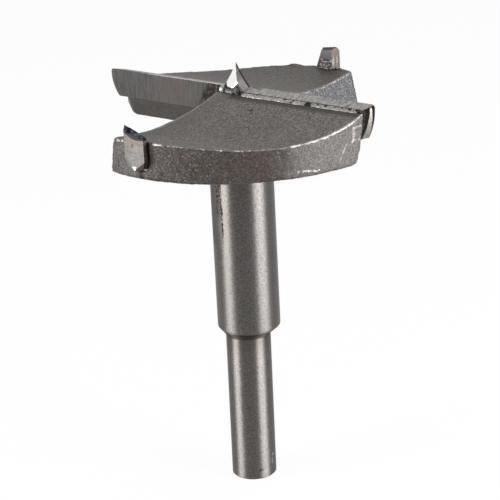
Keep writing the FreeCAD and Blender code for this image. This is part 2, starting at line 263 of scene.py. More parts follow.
def copy_of(node, name):
    """A new object with a copy of a CAD solid's mesh, its triangles joined, active and selected."""
    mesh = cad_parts[node].data.copy()
    mesh.materials.clear()
    piece = bpy.data.objects.new(name, mesh)
    bpy.context.scene.collection.objects.link(piece)
    bpy.ops.object.select_all(action="DESELECT")
    piece.select_set(True)
    bpy.context.view_layer.objects.active = piece
    bpy.ops.object.mode_set(mode="EDIT")
    bpy.ops.mesh.select_all(action="SELECT")
    bpy.ops.mesh.remove_doubles(threshold=0.002 * mm)
    bpy.ops.object.mode_set(mode="OBJECT")
    return piece


def modified(piece, kind, settings):
    """Adds a modifier with those settings and applies it."""
    bpy.context.view_layer.objects.active = piece
    modifier = piece.modifiers.new(kind.lower(), kind)
    for key, value in settings.items():
        setattr(modifier, key, value)
    bpy.ops.object.modifier_apply(modifier=modifier.name)


head = copy_of("bit_body", "forged_head")
bpy.ops.object.mode_set(mode="EDIT")
bpy.ops.mesh.select_all(action="SELECT")
bpy.ops.mesh.bisect(plane_co=(0, 0, head_cut * mm), plane_no=(0, 0, 1), use_fill=True,
                    clear_inner=True)
bpy.ops.object.mode_set(mode="OBJECT")
modified(head, "REMESH", {"mode": "VOXEL", "voxel_size": head_voxel * mm, "use_smooth_shade": True})

# The wings' corners at the rim are rounded most.
flank_lean = math.tan(math.radians(18.3))
trailing_offset = 7.3
leading_offset = 4.15
corner_depth = 0.9
corner_width = 0.9
corner_rounding = 8
foot_margin = 0.5


def at_corner(place):
    """Whether a place in millimetres is near the edge where a gullet's flank meets the rim."""
    height = place.z - head_base
    run = abs(place.y)
    across = -place.x * math.copysign(1, place.y)
    if math.hypot(place.x, place.y) < rim_radius - corner_depth or height < -foot_margin:
        return False
    at_trailing = abs(across + trailing_offset - flank_lean * height) < corner_width
    at_leading = across > 0 and abs(run - leading_offset + flank_lean * height) < corner_width
    return at_trailing or at_leading


for vertex in head.data.vertices:
    vertex.select = at_corner(vertex.co / mm)
for face in head.data.polygons:
    face.select = False
for edge in head.data.edges:
    edge.select = False
bpy.ops.object.mode_set(mode="EDIT")
bpy.ops.mesh.select_mode(type="VERT")
bpy.ops.mesh.vertices_smooth(factor=0.5, repeat=corner_rounding)
bpy.ops.object.mode_set(mode="OBJECT")
modified(head, "SMOOTH", {"factor": 0.5, "iterations": 3})
# The skin's unevenness: how wide its lumps are, and how deep.
for lump_width, lump_depth in ((2.6, 0.12), (0.9, 0.09)):
    lumps = bpy.data.textures.new(f"forged_lumps_{lump_width}", "CLOUDS")
    lumps.noise_scale = lump_width * mm
    lumps.noise_depth = 1
    modified(head, "DISPLACE", {"texture": lumps, "texture_coords": "LOCAL", "mid_level": 0.5,
                                "strength": lump_depth * mm})

# Knocks and slag marks: the place, the push and how far it reaches.
knocks = (
    ((-9.3, 33.4, 86.9), (0.0, 0.0, 0.34), 2.6),
    ((-6.2, 34.1, 86.7), (0.0, -0.1, -0.42), 1.2),
    ((-29.5, 16.0, 86.5), (0.0, 0.0, 0.34), 13.0),
    ((4.9, 33.6, 86.4), (0.44, 0.32, 0.0), 5.5),
    ((7.0, 33.0, 81.5), (0.28, 0.20, 0.0), 4.5),
    ((-5.2, -33.6, 85.5), (-0.30, -0.20, 0.0), 6.0),
    ((-33.6, 3.4, 81.5), (-0.42, -0.32, 0.0), 5.0),
    ((33.6, -3.4, 81.0), (0.30, 0.24, 0.0), 5.0),
    ((8.8, -6.7, 88.1), (0.0, 0.0, -0.25), 0.7),
    ((13.5, -20.0, 86.0), (0.0, 0.0, -0.20), 0.6),
    ((34.2, -3.9, 86.9), (0.30, -0.04, 0.0), 1.0),
    ((34.2, -4.2, 85.3), (0.30, -0.04, 0.0), 1.0),
    ((34.0, -5.2, 84.6), (0.22, -0.03, 0.0), 0.7),
    ((5.6, -34.0, 87.0), (0.0, -0.15, 0.18), 0.9),
    ((1.0, -34.3, 80.0), (0.0, 0.22, 0.0), 0.5),
)
for place, push, reach in knocks:
    for vertex in head.data.vertices:
        share = 1 - (vertex.co / mm - Vector(place)).length / reach
        if share > 0:
            vertex.co += Vector(push) * mm * share * share * (3 - 2 * share)

# The front wing is a little deeper at its foot than the solid, and the rear one a little less deep.
foot_drop = {"front": 0.27, "rear": -0.04}
foot_below = 0.6
foot_reach = 1.2
for vertex in head.data.vertices:
    rise = vertex.co.z / mm - head_base
    if rise > -foot_below:
        drop = foot_drop["front"] if vertex.co.y < 0 else foot_drop["rear"]
        vertex.co.z -= drop * mm * min(1, max(0, 1 - rise / foot_reach))

bare_metal = (0.46, 0.44, 0.42, 1)
forged, paint = new_finish("forged_steel")
spot, x, y, z = paint.place()
grain = paint.noise(spot, 0.50, 3.0, 0.65)
grit = paint.noise(spot, 0.26, 2.0, 0.6)
mottle = paint.noise(spot, 1.5, 3.0, 0.6)
patches = paint.noise(spot, 7.0, 3.0, 0.6)
scabs = paint.noise(spot, 2.0, 3.0, 0.65)
facing_x, facing_y, facing_z = paint.facing(smooth=True)
radius = paint.math("SQRT", x * x + y * y)
front = paint.ramp(y, 0.5, -0.5)
# The wing's top at this distance from the blades' plane, and how far below it the spot lies.
hollow_run = abs(y) - hollow_offset
wing_top = (head_base + wing_floor + wing_hollow
            - paint.math("SQRT", wing_hollow ** 2 - hollow_run * hollow_run))
below_top = wing_top - z
rim_depth = rim_radius + (z - head_base) * rim_lean - radius
on_rim = paint.ramp(rim_depth, 0.75, 0.35)
on_top = paint.ramp(facing_z, 0.45, 0.75)
# Along the wing: the way towards its blade, and the same as degrees round the axis from the spur.
across = x * paint.math("SIGN", y) * -1
bearing = paint.math("ARCTAN2", across, abs(y)) * math.degrees(1)
steel = paint.mix(paint.ramp(grain, 0.38, 0.62), (0.062, 0.055, 0.051, 1), (0.178, 0.162, 0.152, 1))
steel = paint.mix(paint.ramp(mottle, 0.48, 0.66) * 0.35, steel, (0.100, 0.088, 0.080, 1))
steel = paint.mix(paint.ramp(patches, 0.42, 0.68) * 0.40, steel, (0.088, 0.078, 0.071, 1))
# The rear wing and the left of the front one are smoother and evenly grey.
smooth_side = paint.ramp(across, 6.0, -6.0)
rear_top = paint.ramp(y, -0.5, 0.5)
smooth_side = paint.math("MAXIMUM", smooth_side, rear_top * 0.8)
steel = paint.mix(smooth_side * 0.60, steel, (0.083, 0.075, 0.070, 1))
# A soft painted shadow follows the foot of the braze behind each blade.
seam_foot_shadow = paint.ramp(abs(y) + (mottle - 0.5) * 0.8, 4.7, 3.3) * paint.ramp(across, -1.0, 1.0) * on_top
steel = paint.mix(seam_foot_shadow * 0.85, steel, (0.036, 0.032, 0.029, 1))
# The rim is brown with oxide, mottled on the left, and scoured grey where it nears the blade.
rim_wander = bearing + (scabs - 0.5) * 16
rim_light = paint.ramp(rim_wander, 50.0, 60.0)
rim_grain = paint.ramp(paint.noise(spot, 0.40, 4.0, 0.75), 0.34, 0.70)
rim_paint = paint.mix(rim_grain, (0.011, 0.0075, 0.0062, 1), (0.046, 0.0345, 0.0305, 1))
rim_scoured = paint.mix(rim_grain, (0.034, 0.031, 0.029, 1), (0.102, 0.095, 0.091, 1))
rim_paint = paint.mix(rim_light, rim_paint, rim_scoured)
rim_grey = paint.ramp(rim_wander, 12.0, -6.0)
rim_paint = paint.mix(rim_grey * 0.8, rim_paint, paint.mix(
    rim_grain, (0.026, 0.0225, 0.021, 1), (0.084, 0.0775, 0.073, 1)))
rim_left = paint.ramp(bearing, 48.0, 26.0)
rim_paint = paint.mix(paint.dots(spot, 0.85, 0.5) * rim_left * 0.6, rim_paint, (0.008, 0.006, 0.005, 1))
rim_paint = paint.mix(paint.dots(spot, 0.66, 0.45) * rim_left * 0.45, rim_paint, (0.115, 0.104, 0.097, 1))
steel = paint.mix(on_rim * (1 - on_top), steel, rim_paint)
# The gullet's trailing flank is scoured bluish, and the flank under each blade, where it faces down, is
# brown oxide darkened by painted shade.
trailing = paint.ramp(abs(facing_x), 0.62, 0.85) * (1 - on_rim)
coarse = paint.ramp(paint.noise(spot, 0.40, 3.0, 0.75), 0.38, 0.62)
flank_paint = paint.mix(coarse, (0.028, 0.0275, 0.029, 1), (0.082, 0.082, 0.085, 1))
flank_paint = paint.mix(paint.dots(spot, 0.52, 0.6) * 0.55, flank_paint, (0.22, 0.22, 0.225, 1))
steel = paint.mix(trailing, steel, flank_paint)
shaded_under_blade = paint.ramp(facing_z, -0.05, -0.25) * (1 - on_rim)
steel = paint.mix(shaded_under_blade * 0.9, steel, paint.mix(
    rim_grain, (0.009, 0.007, 0.006, 1), (0.030, 0.0245, 0.021, 1)))
# The upper edge of the rim is worn to bare metal, brightest from the middle to the blade.
edge_gap = paint.math("SQRT", rim_depth * rim_depth + below_top * below_top)
bright_end = paint.ramp(bearing, 47.0, 64.0)
worn = paint.ramp(edge_gap + (mottle - 0.5) * 0.9 - bright_end * 0.14, 0.30, 0.14)
worn_speckle = paint.ramp(paint.noise(spot, 0.55, 2.0, 0.6) + bright_end * 0.14, 0.46, 0.58)
worn_speckle = worn_speckle * paint.ramp(bearing, 4.0, 10.0)
worn_line = paint.ramp(edge_gap + (grit - 0.5) * 0.4, 0.28, 0.12) * paint.ramp(bearing, 4.0, 10.0)
steel = paint.mix(worn_line * 0.42, steel, (0.27, 0.255, 0.245, 1))
worn_share = 0.9 - paint.ramp(bearing, 70.0, 80.0) * 0.45 - paint.ramp(bearing, 42.0, 30.0) * 0.32
steel = paint.mix(worn * worn_speckle * worn_share, steel, bare_metal)
# The upper edge of the trailing flank carries bright specks, a painted highlight.
flank_edge_highlight = trailing * paint.ramp(below_top, 0.70, 0.30) * paint.ramp(
    paint.noise(spot, 0.8, 3.0, 0.7), 0.47, 0.60)
steel = paint.mix(flank_edge_highlight * 0.65, steel, (0.34, 0.34, 0.335, 1))
# Bright specks all over, most of them on the tops: painted glints.
glint_specks = paint.dots(spot, 0.50, 0.50) * (1 - smooth_side * 0.75) * (1 - seam_foot_shadow)
steel = paint.mix(glint_specks * (0.08 + on_top * 0.55), steel, (0.31, 0.29, 0.275, 1))
# Bright specks along the front wing's trailing edge beside the plain blade: a painted highlight.
from_edge = abs(across + trailing_offset - (z - head_base) * flank_lean)
top_edge_highlight = paint.ramp(from_edge, 0.8, 0.2) * on_top * front * paint.ramp(radius, 27.0, 20.0)
steel = paint.mix(top_edge_highlight * paint.ramp(grit, 0.44, 0.56) * 0.8, steel, (0.34, 0.325, 0.31, 1))
dark_dots = paint.dots(spot, 0.83, 0.5) * (1 - smooth_side * 0.75)
steel = paint.mix(dark_dots * 0.40, steel, (0.045, 0.040, 0.037, 1))
pits = paint.ramp(paint.noise(spot, 0.9, 1.0, 0.4), 0.27, 0.22)
steel = paint.mix(pits * 0.8, steel, (0.022, 0.019, 0.017, 1))
# Marks of the front wing: two pits, then bared clumps beside the spur.
for centre, reach in (((8.8, -6.7, 88.1), (0.6, 0.5, 0.6)), ((13.5, -20.0, 86.0), (0.35, 0.35, 0.5))):
    steel = paint.mix(paint.blob(spot, centre, reach, 0.8) * 0.9, steel, (0.015, 0.012, 0.011, 1))
for centre, reach, share in (
        ((4.9, -34.0, 87.15), (0.55, 0.7, 0.42), 0.75),
        ((5.9, -33.8, 87.0), (0.9, 0.6, 0.24), 0.70),
        ((3.75, -33.9, 87.3), (0.7, 0.5, 0.22), 0.75),
        ((-4.6, -34.0, 86.7), (0.55, 0.6, 0.28), 0.45),
        ((-3.4, -34.1, 86.8), (0.5, 0.6, 0.24), 0.45)):
    steel = paint.mix(paint.blob(spot, centre, reach, 2.2) * share, steel, bare_metal)
# On its rim: a crack under the spur, a scratch that leans, and a bared line near the lower edge.
crack_bearing = 1.5
scratch_bearing = 78.4
scratch_level = 84.3
scratch_lean = 0.97
scratch_middle = 82.6
line_bearing = 58.8
line_level = 80.6
line_fall = 0.098
line_middle = 62.5
wander = (mottle - 0.5) * 2.0
crack = paint.ramp(abs(bearing - crack_bearing + wander * 0.25), 1.4, 0.5) * paint.ramp(z, 82.0, 81.4)
from_scratch = abs(bearing - scratch_bearing + (scratch_level - z) * scratch_lean + wander * 0.3)
scratch = paint.ramp(from_scratch, 0.45, 0.15) * paint.ramp(abs(z - scratch_middle), 1.9, 1.5)
from_line = abs(z - line_level + (bearing - line_bearing) * line_fall + wander * 0.9)
low_line = paint.ramp(from_line, 0.20, 0.08) * paint.ramp(abs(bearing - line_middle), 4.8, 3.8)
front_rim = front * on_rim
steel = paint.mix(crack * front_rim * 0.85, steel, (0.014, 0.012, 0.011, 1))
bared = paint.ramp(grain, 0.40, 0.56)
steel = paint.mix(scratch * front_rim * bared * 0.42, steel, (0.36, 0.345, 0.33, 1))
steel = paint.mix(low_line * front_rim * bared * 0.8, steel, (0.36, 0.345, 0.33, 1))
# A patch of slag beside the blade's end, pale at its border.
slag_bearing = 83.2
slag_level = 85.8
slag_in = paint.ramp(abs(bearing - slag_bearing + wander * 1.1), 2.7, 2.2) * paint.ramp(
    abs(z - slag_level + wander * 0.55), 1.75, 1.45)
slag_core = paint.ramp(abs(bearing - slag_bearing - 0.4 + wander * 0.7), 1.9, 1.4) * paint.ramp(
    abs(z - slag_level - wander * 0.4), 1.35, 0.9)
slag_in = slag_in * paint.ramp(grit, 0.34, 0.50)
slag_paint = paint.mix(paint.ramp(mottle, 0.36, 0.62), (0.030, 0.025, 0.023, 1), (0.27, 0.255, 0.245, 1))
slag_paint = paint.mix(slag_core * 0.85, slag_paint, (0.062, 0.055, 0.052, 1))
steel = paint.mix(slag_in * front_rim, steel, slag_paint)
# Flux ran down beside the front spur and under its foot.
flux_bearing = 6.3
flux_side = bearing - flux_bearing + paint.ramp(z, 83.4, 81.0) * 4.0 + wander * 0.3
flux = paint.ramp(abs(flux_side), 2.3, 0.7) * paint.ramp(z, 80.4, 81.6)
steel = paint.mix(flux * front_rim * 0.85, steel, (0.020, 0.014, 0.011, 1))
paint.shader({
    "Base Color": steel,
    "Metallic": paint.clamped(0.25 + (crack + flux) * front_rim * 0.6),
    "Specular IOR Level": 0.25,
    "Roughness": 0.60 - worn * 0.2 - glint_specks * 0.1,
    "Normal": paint.bump(grain * 0.6 + grit * 0.4, 0.12),
})
head.data.materials.append(forged)
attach(head, "root")
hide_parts("bit_body")


# Stem and shank: the same forging below its head, turned to a thick stem and ground to a thinner shank
# with a chamfered end. Between them is a conical shoulder, with painted shade at its foot.
shank_radius = 5.0
shank_length = 34.25
shank_chamfer = 0.45
stem_radius = 7.0
stem_top = 76.6
stem_sides = 160

bpy.ops.object.select_all(action="DESELECT")
bpy.ops.mesh.primitive_circle_add(vertices=stem_sides, radius=(shank_radius - shank_chamfer) * mm,
                                  fill_type="NGON")
stem = bpy.context.object
stem.name = "turned_stem"
bpy.ops.object.mode_set(mode="EDIT")
bpy.ops.mesh.select_all(action="SELECT")
bpy.ops.mesh.normals_make_consistent(inside=True)


def grow_to(low, high, old_radius, new_radius):
    """Extrudes the selected face up from one level to another and gives it the new radius."""
    bpy.ops.mesh.extrude_region_move(TRANSFORM_OT_translate={"value": (0, 0, (high - low) * mm)})
    share = new_radius / old_radius
    bpy.ops.transform.resize(value=(share, share, 1), center_override=(0, 0, 0))


# The profile from the foot up, each time the level and the radius. A fine groove lies under the shoulder.
shoulder_top = shank_length + stem_radius - shank_radius
turned_profile = [
    (0.0, shank_radius - shank_chamfer),
    (shank_chamfer, shank_radius),
    (shank_length - 0.5, shank_radius),
    (shank_length - 0.12, shank_radius - 0.06),
    (shank_length, shank_radius + 0.02),
    (shoulder_top - 0.35, stem_radius - 0.32),
    (shoulder_top - 0.02, stem_radius - 0.06),
    (shoulder_top + 0.25, stem_radius),
    (stem_top, stem_radius),
]
for (low, narrow), (high, wide) in zip(turned_profile, turned_profile[1:]):
    grow_to(low, high, narrow, wide)
bpy.ops.mesh.select_all(action="SELECT")
bpy.ops.mesh.normals_make_consistent(inside=False)
bpy.ops.object.mode_set(mode="OBJECT")
bpy.ops.object.shade_smooth_by_angle(angle=math.radians(28))

# The shank runs a little out of line with the stem, to the left as photographed.
runout_way = Vector((-0.7815, -0.6239, 0.0))
runout_top = 0.30
runout_slope = 0.0048
for vertex in stem.data.vertices:
    depth = shank_length + 0.01 - vertex.co.z / mm
    if depth > 0:
        vertex.co += runout_way * (runout_top + runout_slope * depth) * mm

ground, paint = new_finish("turned_steel")
spot, x, y, z = paint.place()
rings = paint.noise(paint.stretched(spot, (0, 0, 0), (0.35, 0.35, 5.0)), 0.8, 3.0, 0.6)
grain = paint.noise(spot, 0.35, 3.0, 0.6)
clouds = paint.noise(spot, 6.0, 3.0, 0.6)
steel = paint.mix(paint.ramp(grain, 0.3, 0.7), (0.080, 0.073, 0.069, 1), (0.152, 0.144, 0.138, 1))
steel = paint.mix(paint.ramp(clouds, 0.50, 0.75) * 0.35, steel, (0.105, 0.086, 0.070, 1))
# The foot of the shoulder cone is painted dark as shade, and the shank just below it is stained.
shoulder = paint.ramp(z, shank_length - 0.35, shank_length - 0.05) * paint.ramp(
    z + (rings - 0.5) * 0.8, shoulder_top - 0.3, shoulder_top - 0.8)
steel = paint.mix(shoulder * 0.92, steel, (0.016, 0.014, 0.013, 1))
stain = paint.ramp(z, shank_length - 5.0, shank_length - 0.5) * paint.ramp(
    z, shoulder_top, shank_length)
steel = paint.mix(stain * 0.45, steel, (0.085, 0.068, 0.054, 1))
# Under the front spur a strip of forging skin was left along the stem, dull and with a dark ragged edge.
skin_edge = -0.48
strip_end = paint.ramp(z + (clouds - 0.5) * 14, 55.0, 60.0)
edge_line = (paint.noise(spot, 1.4, 3.0, 0.7) - 0.5) * 1.1
from_line = x - skin_edge + edge_line
front = paint.ramp(y, 0.5, -0.5)
skin = paint.ramp(from_line, 0.15, -0.15) * paint.ramp(x, -5.6, -4.4) * front * strip_end
steel = paint.mix(skin * 0.7, steel, (0.150, 0.140, 0.132, 1))
ragged = paint.ramp(abs(from_line), 0.42, 0.12) * front * strip_end
skin_pits = paint.ramp(paint.noise(spot, 0.6, 3.0, 0.7), 0.44, 0.54)
steel = paint.mix(ragged * skin_pits, steel, (0.015, 0.013, 0.012, 1))
near_line = paint.ramp(abs(from_line + 0.8), 1.2, 0.4) * skin * paint.ramp(z, 62.0, 64.0)
steel = paint.mix(near_line * paint.ramp(grain, 0.54, 0.46), steel, (0.030, 0.027, 0.025, 1))
specks = paint.ramp(paint.noise(spot, 0.55, 1.0, 0.5), 0.26, 0.20)
steel = paint.mix(specks * 0.7, steel, (0.07, 0.06, 0.055, 1))
# The chuck left small bright and dark bruises near the shank's end.
for centre, reach, bruise in (
        ((4.85, 0.4, 5.2), (0.5, 0.5, 0.6), (0.42, 0.41, 0.40, 1)),
        ((4.8, 0.1, 3.6), (0.5, 0.3, 0.9), (0.42, 0.41, 0.40, 1)),
        ((3.9, -3.1, 2.3), (0.8, 0.8, 0.35), (0.03, 0.027, 0.025, 1))):
    steel = paint.mix(paint.blob(spot, centre, reach, 1.2) * 0.7, steel, bruise)
paint.shader({
    "Base Color": steel,
    "Metallic": 1.0,
    "Roughness": 0.44 + rings * 0.05 + grain * 0.05 + shoulder * 0.2 + skin * 0.22,
    "Anisotropic": 0.90,
    "Anisotropic Rotation": 0.25,
    "Normal": paint.bump(rings * 0.4 + grain * 0.6, 0.012),
})
stem.data.materials.append(ground)
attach(stem, "root")
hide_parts("bit_body")


# Blades: flat carbide plates brazed into the head. The cutting faces are ground upright and the
# tops slantwise, and the point is ground last; its facets are the brightest, with a painted highlight on
# each gash.
edge_level = 90.85
blade_end = 34.0
heel_place = 1.72

blade_carbide, paint = new_finish("ground_blade_carbide")
spot, x, y, z = paint.place()
upright = paint.noise(paint.stretched(spot, (0, 8, 0), (2.4, 1.0, 0.14)), 0.5, 4.0, 0.7)
slantwise = paint.noise(paint.stretched(spot, (0, 0, 38), (3.0, 0.18, 1.0)), 0.5, 4.0, 0.65)
grain = paint.noise(spot, 0.3, 2.0, 0.6)
clouds = paint.noise(spot, 4.0, 3.0, 0.6)
facing_x, facing_y, facing_z = paint.facing()
facing_up = paint.ramp(facing_z, 0.60, 0.85)
down = edge_level - z
marks = upright * (1 - facing_up) + slantwise * facing_up
carbide = paint.mix(paint.ramp(marks, 0.38, 0.62), (0.0036, 0.0031, 0.0027, 1), (0.0215, 0.0185, 0.0165, 1))
# The faces are tinted: greenish at the ends and purplish brown in the middle.
tint = paint.ramp(abs(abs(x) - 17.0 + (clouds - 0.5) * 12), 8.0, 2.0)
carbide = paint.mix(tint * 0.45, carbide, (0.026, 0.016, 0.0155, 1))
# The tops are painted much lighter than the upright faces of the same carbide: painted light from above.
lit_top_paint = paint.mix(paint.ramp(marks, 0.42, 0.58), (0.130, 0.123, 0.115, 1), (0.370, 0.355, 0.332, 1))
carbide = paint.mix(facing_up, carbide, lit_top_paint)
# Heat and flux stain the faces near the middle.
inner = abs(x) + clouds * 5 - down * 0.5
middle = paint.ramp(inner, 11.6, 9.2) * (1 - facing_up)
stain = paint.ramp(paint.noise(spot, 1.1, 3.0, 0.65), 0.36, 0.50)
stained = middle * stain
carbide = paint.mix(stained * 0.92, carbide, (0.0065, 0.0042, 0.0035, 1))
# Near the ball in the pocket the face is painted black.
dark_by_ball = paint.blob(spot, (-3.0, -0.8, 90.0), (1.9, 2.0, 1.1), 0.8) * (1 - facing_up)
carbide = paint.mix(dark_by_ball * 0.95, carbide, (0.007, 0.006, 0.005, 1))
# A thin painted highlight runs along the cutting edges.
cutting_edge_highlight = paint.ramp(down + (grain - 0.5) * 0.3, 0.20, 0.08) * (1 - facing_up)
cutting_edge_highlight = cutting_edge_highlight * paint.ramp(abs(x), 27.0, 22.0)
carbide = paint.mix(cutting_edge_highlight * 0.45, carbide, (0.26, 0.25, 0.24, 1))
# The ends: polished in a wedge that widens upwards, dark with flux at the heel and along the edge.
lead = y * paint.math("SIGN", x)
end_faces = paint.ramp(abs(facing_x), 0.4, 0.6) * (1 - facing_up)
at_end = paint.ramp(abs(x) + down * 0.33, blade_end, blade_end + 0.4) * end_faces
wedge = paint.ramp(lead + 0.42 + (down - 1) * 0.095, -0.10, 0.05) * paint.ramp(
    lead - 0.05 - (down - 1) * 0.09, 0.05, -0.08) * paint.ramp(down, 0.3, 0.7)
end_paint = paint.mix(wedge, (0.014, 0.011, 0.009, 1), paint.mix(
    paint.ramp(grain, 0.35, 0.65), (0.150, 0.138, 0.124, 1), (0.240, 0.224, 0.206, 1)))
heel_line = paint.ramp(abs(lead + heel_place), 0.20, 0.10) * paint.ramp(grain, 0.46, 0.60)
end_paint = paint.mix(heel_line * 0.5, end_paint, (0.14, 0.125, 0.112, 1))
carbide = paint.mix(at_end * 0.95, carbide, end_paint)
# The centre point: a bright leaf on each gash, a painted highlight on the ground facet, grey hollow flanks
# with painted shade along the back edge, and dark flux round the foot.
above = z - edge_level
on_point = paint.ramp(abs(x), 3.15, 2.95) * paint.ramp(above, -0.5, -0.42)
side = x * paint.math("SIGN", y) * -1
leaf = paint.ramp(above + 0.25 + (side + 1.58) * 1.65, -0.12, 0.08) * paint.ramp(
    above + 0.04, -0.08, 0.04) * paint.ramp(above + 0.25 - (side - 0.12) * 0.83, -0.10, 0.08)
front_side = paint.ramp(abs(facing_y), 0.70, 0.80)
point_paint = paint.mix(leaf, (0.026, 0.023, 0.021, 1), (0.485, 0.472, 0.464, 1))
# How far a flank's spot lies from the back edge, which leans in as it rises and runs out.
back_edge = 2.147
back_rise = 0.3767
back_run = 0.4122
back_gap = back_edge - (above + 0.45) * back_rise - abs(x) * back_run - y * paint.math("SIGN", x)
flank_foot = paint.ramp(above + (clouds - 0.5), 3.2, 0.0)
flank_paint = paint.mix(flank_foot, (0.095, 0.091, 0.089, 1), (0.205, 0.197, 0.190, 1))
# Painted shade darkens each flank along its back edge.
flank_paint = paint.mix(paint.ramp(back_gap, 0.62, 0.44), flank_paint, (0.016, 0.014, 0.013, 1))
point_paint = paint.mix(front_side, flank_paint, point_paint)
carbide = paint.mix(on_point, carbide, point_paint)
paint.shader({
    "Base Color": carbide,
    "Metallic": paint.clamped(0.45 + (at_end + stained + dark_by_ball) * 0.5),
    "Specular IOR Level": 0.3,
    "Roughness": 0.46 + grain * 0.1 + at_end * (1 - wedge) * 0.35,
    "Normal": paint.bump(marks * 0.7 + grain * 0.3, 0.025),
})
for node in ("point_blade", "plain_blade"):
    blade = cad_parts[node]
    blade.data.materials.clear()
    blade.data.materials.append(blade_carbide)


# Spurs: two carbide tongues brazed into notches of the rim, which score the hole's edge. They are ground
# on the outside and blued by heat at the top. The front one's top is broken out, and the rear one is whole.
# The break's outer edge is a piece of a parabola: its lowest level, where that lies, and its curve.
break_level = 88.0
break_middle = 4.54
break_curve = 0.033

spur_carbide, paint = new_finish("ground_spur_carbide")
spot, x, y, z = paint.place()
lengthwise = paint.noise(paint.stretched(spot, (0, 0, 0), (3.0, 3.0, 0.25)), 0.6, 3.0, 0.6)
crosswise = paint.noise(paint.stretched(spot, (0, 0, 0), (0.25, 0.25, 3.0)), 0.6, 3.0, 0.6)
clouds = paint.noise(spot, 1.6, 3.0, 0.6)
marks = lengthwise * 0.5 + crosswise * 0.5
carbide = paint.mix(paint.ramp(marks, 0.36, 0.64), (0.040, 0.0365, 0.032, 1), (0.088, 0.081, 0.072, 1))
facing_x, facing_y, facing_z = paint.facing()
outside = paint.ramp(abs(y), 34.3, 34.9)
carbide = paint.mix((1 - outside) * 0.85, carbide, (0.127, 0.120, 0.119, 1))
# Sides are dark with flux above the wing. The rear one's is streaked, with a dark groove between.
sides = paint.ramp(abs(facing_x), 0.6, 0.8)
rear = paint.ramp(y, -0.5, 0.5)
carbide = paint.mix(sides * (1 - rear) * paint.ramp(z, 88.5, 86.5), carbide, (0.022, 0.016, 0.013, 1))
streaks = paint.ramp(abs(y - 33.45), 0.36, 0.16) + paint.ramp(abs(y - 34.4), 0.30, 0.14)
streaks = streaks * paint.ramp(paint.noise(spot, 0.7, 3.0, 0.7), 0.40, 0.58) * paint.ramp(z, 90.4, 89.4)
streak_paint = paint.mix(paint.ramp(z, 89.6, 90.6), (0.020, 0.016, 0.014, 1), (0.034, 0.024, 0.018, 1))
streak_paint = paint.mix(streaks, streak_paint, (0.115, 0.110, 0.100, 1))
carbide = paint.mix(sides * rear * 0.95, carbide, streak_paint)
# The tops are blued, the rear one's almost black. A brown tint and a dark band follow the break.
chipped_level = (x - break_middle) * (x - break_middle) * break_curve + break_level
below = chipped_level - z + (clouds - 0.5) * 0.25 - paint.ramp(abs(x - 0.3), 2.6, 0.4) * 0.35
carbide = paint.mix(paint.ramp(below, 2.0, 0.7) * 0.55 * (1 - rear), carbide, (0.070, 0.046, 0.029, 1))
dark_band = paint.ramp(below, 0.50, 0.30) * (1 - rear)
carbide = paint.mix(dark_band * 0.95, carbide, (0.012, 0.010, 0.010, 1))
blued = paint.ramp(facing_z, 0.15, 0.30)
blue = paint.mix(paint.ramp(clouds, 0.40, 0.60), (0.010, 0.011, 0.014, 1), (0.075, 0.085, 0.10, 1))
blue = paint.mix(paint.dots(spot, 0.8, 0.35), blue, (0.14, 0.145, 0.155, 1))
blue = paint.mix(rear, blue, (0.0085, 0.008, 0.0075, 1))
carbide = paint.mix(blued, carbide, blue)
# The front spur's foot is chipped bright at one corner and dark with flux at the other, and a rust
# spot sits in its middle.
foot_side = x + 1.95 - (83.7 - z) * 0.93
foot_flux = paint.ramp(z - 81.05 - (x - 0.10) * 0.716, 0.05, -0.08) * outside * (1 - rear)
carbide = paint.mix(foot_flux, carbide, (0.016, 0.012, 0.010, 1))
chip = paint.ramp(z, 82.0, 81.85) * paint.ramp(x - 0.95 - (z - 82.0) * 0.55, 0.06, -0.06)
carbide = paint.mix(chip * outside * (1 - rear), carbide, (0.42, 0.40, 0.385, 1))
broken_off = paint.ramp(foot_side, 0.05, -0.08) * (1 - rear)
carbide = paint.mix(broken_off, carbide, (0.040, 0.035, 0.032, 1))
rust = paint.blob(spot, (0.15, -35.2, 86.4), (0.28, 0.6, 0.5), 0.8)
carbide = paint.mix(rust * 0.75, carbide, (0.014, 0.005, 0.003, 1))
paint.shader({
    "Base Color": carbide,
    "Metallic": paint.clamped(0.5 + (dark_band + foot_flux) * 0.5),
    "Specular IOR Level": 0.35,
    "Roughness": 0.44,
    "Normal": paint.bump(marks, 0.018),
})


def cut_across(piece, place, way):
    """Adds a ring of edges round a piece where a plane meets it."""
    bpy.ops.object.mode_set(mode="EDIT")
    bpy.ops.mesh.select_all(action="SELECT")
    bpy.ops.mesh.bisect(plane_co=Vector(place) * mm, plane_no=way)
    bpy.ops.object.mode_set(mode="OBJECT")


# The front spur's top is broken out in a slope that rises inwards to a thin ridge.
ridge_y = -34.2
ridge_level = 89.5
ridge_slope = 0.384
ridge_inset = 0.45
break_ring = 86.2
above_ring = 86.4
worn_spur = copy_of("front_spur", "worn_spur")
cut_across(worn_spur, (0, 0, break_ring), (0, 0, 1))
for vertex in worn_spur.data.vertices:
    spot_x, spot_y, spot_z = vertex.co / mm
    if spot_z < above_ring:
        continue
    if spot_y < -34.0:
        vertex.co.z = (break_level + break_curve * (spot_x - break_middle) ** 2) * mm
    else:
        vertex.co.x = (spot_x - ridge_inset if spot_x < -1.0 else spot_x) * mm
        vertex.co.y = ridge_y * mm
        vertex.co.z = (ridge_level - ridge_slope * spot_x) * mm

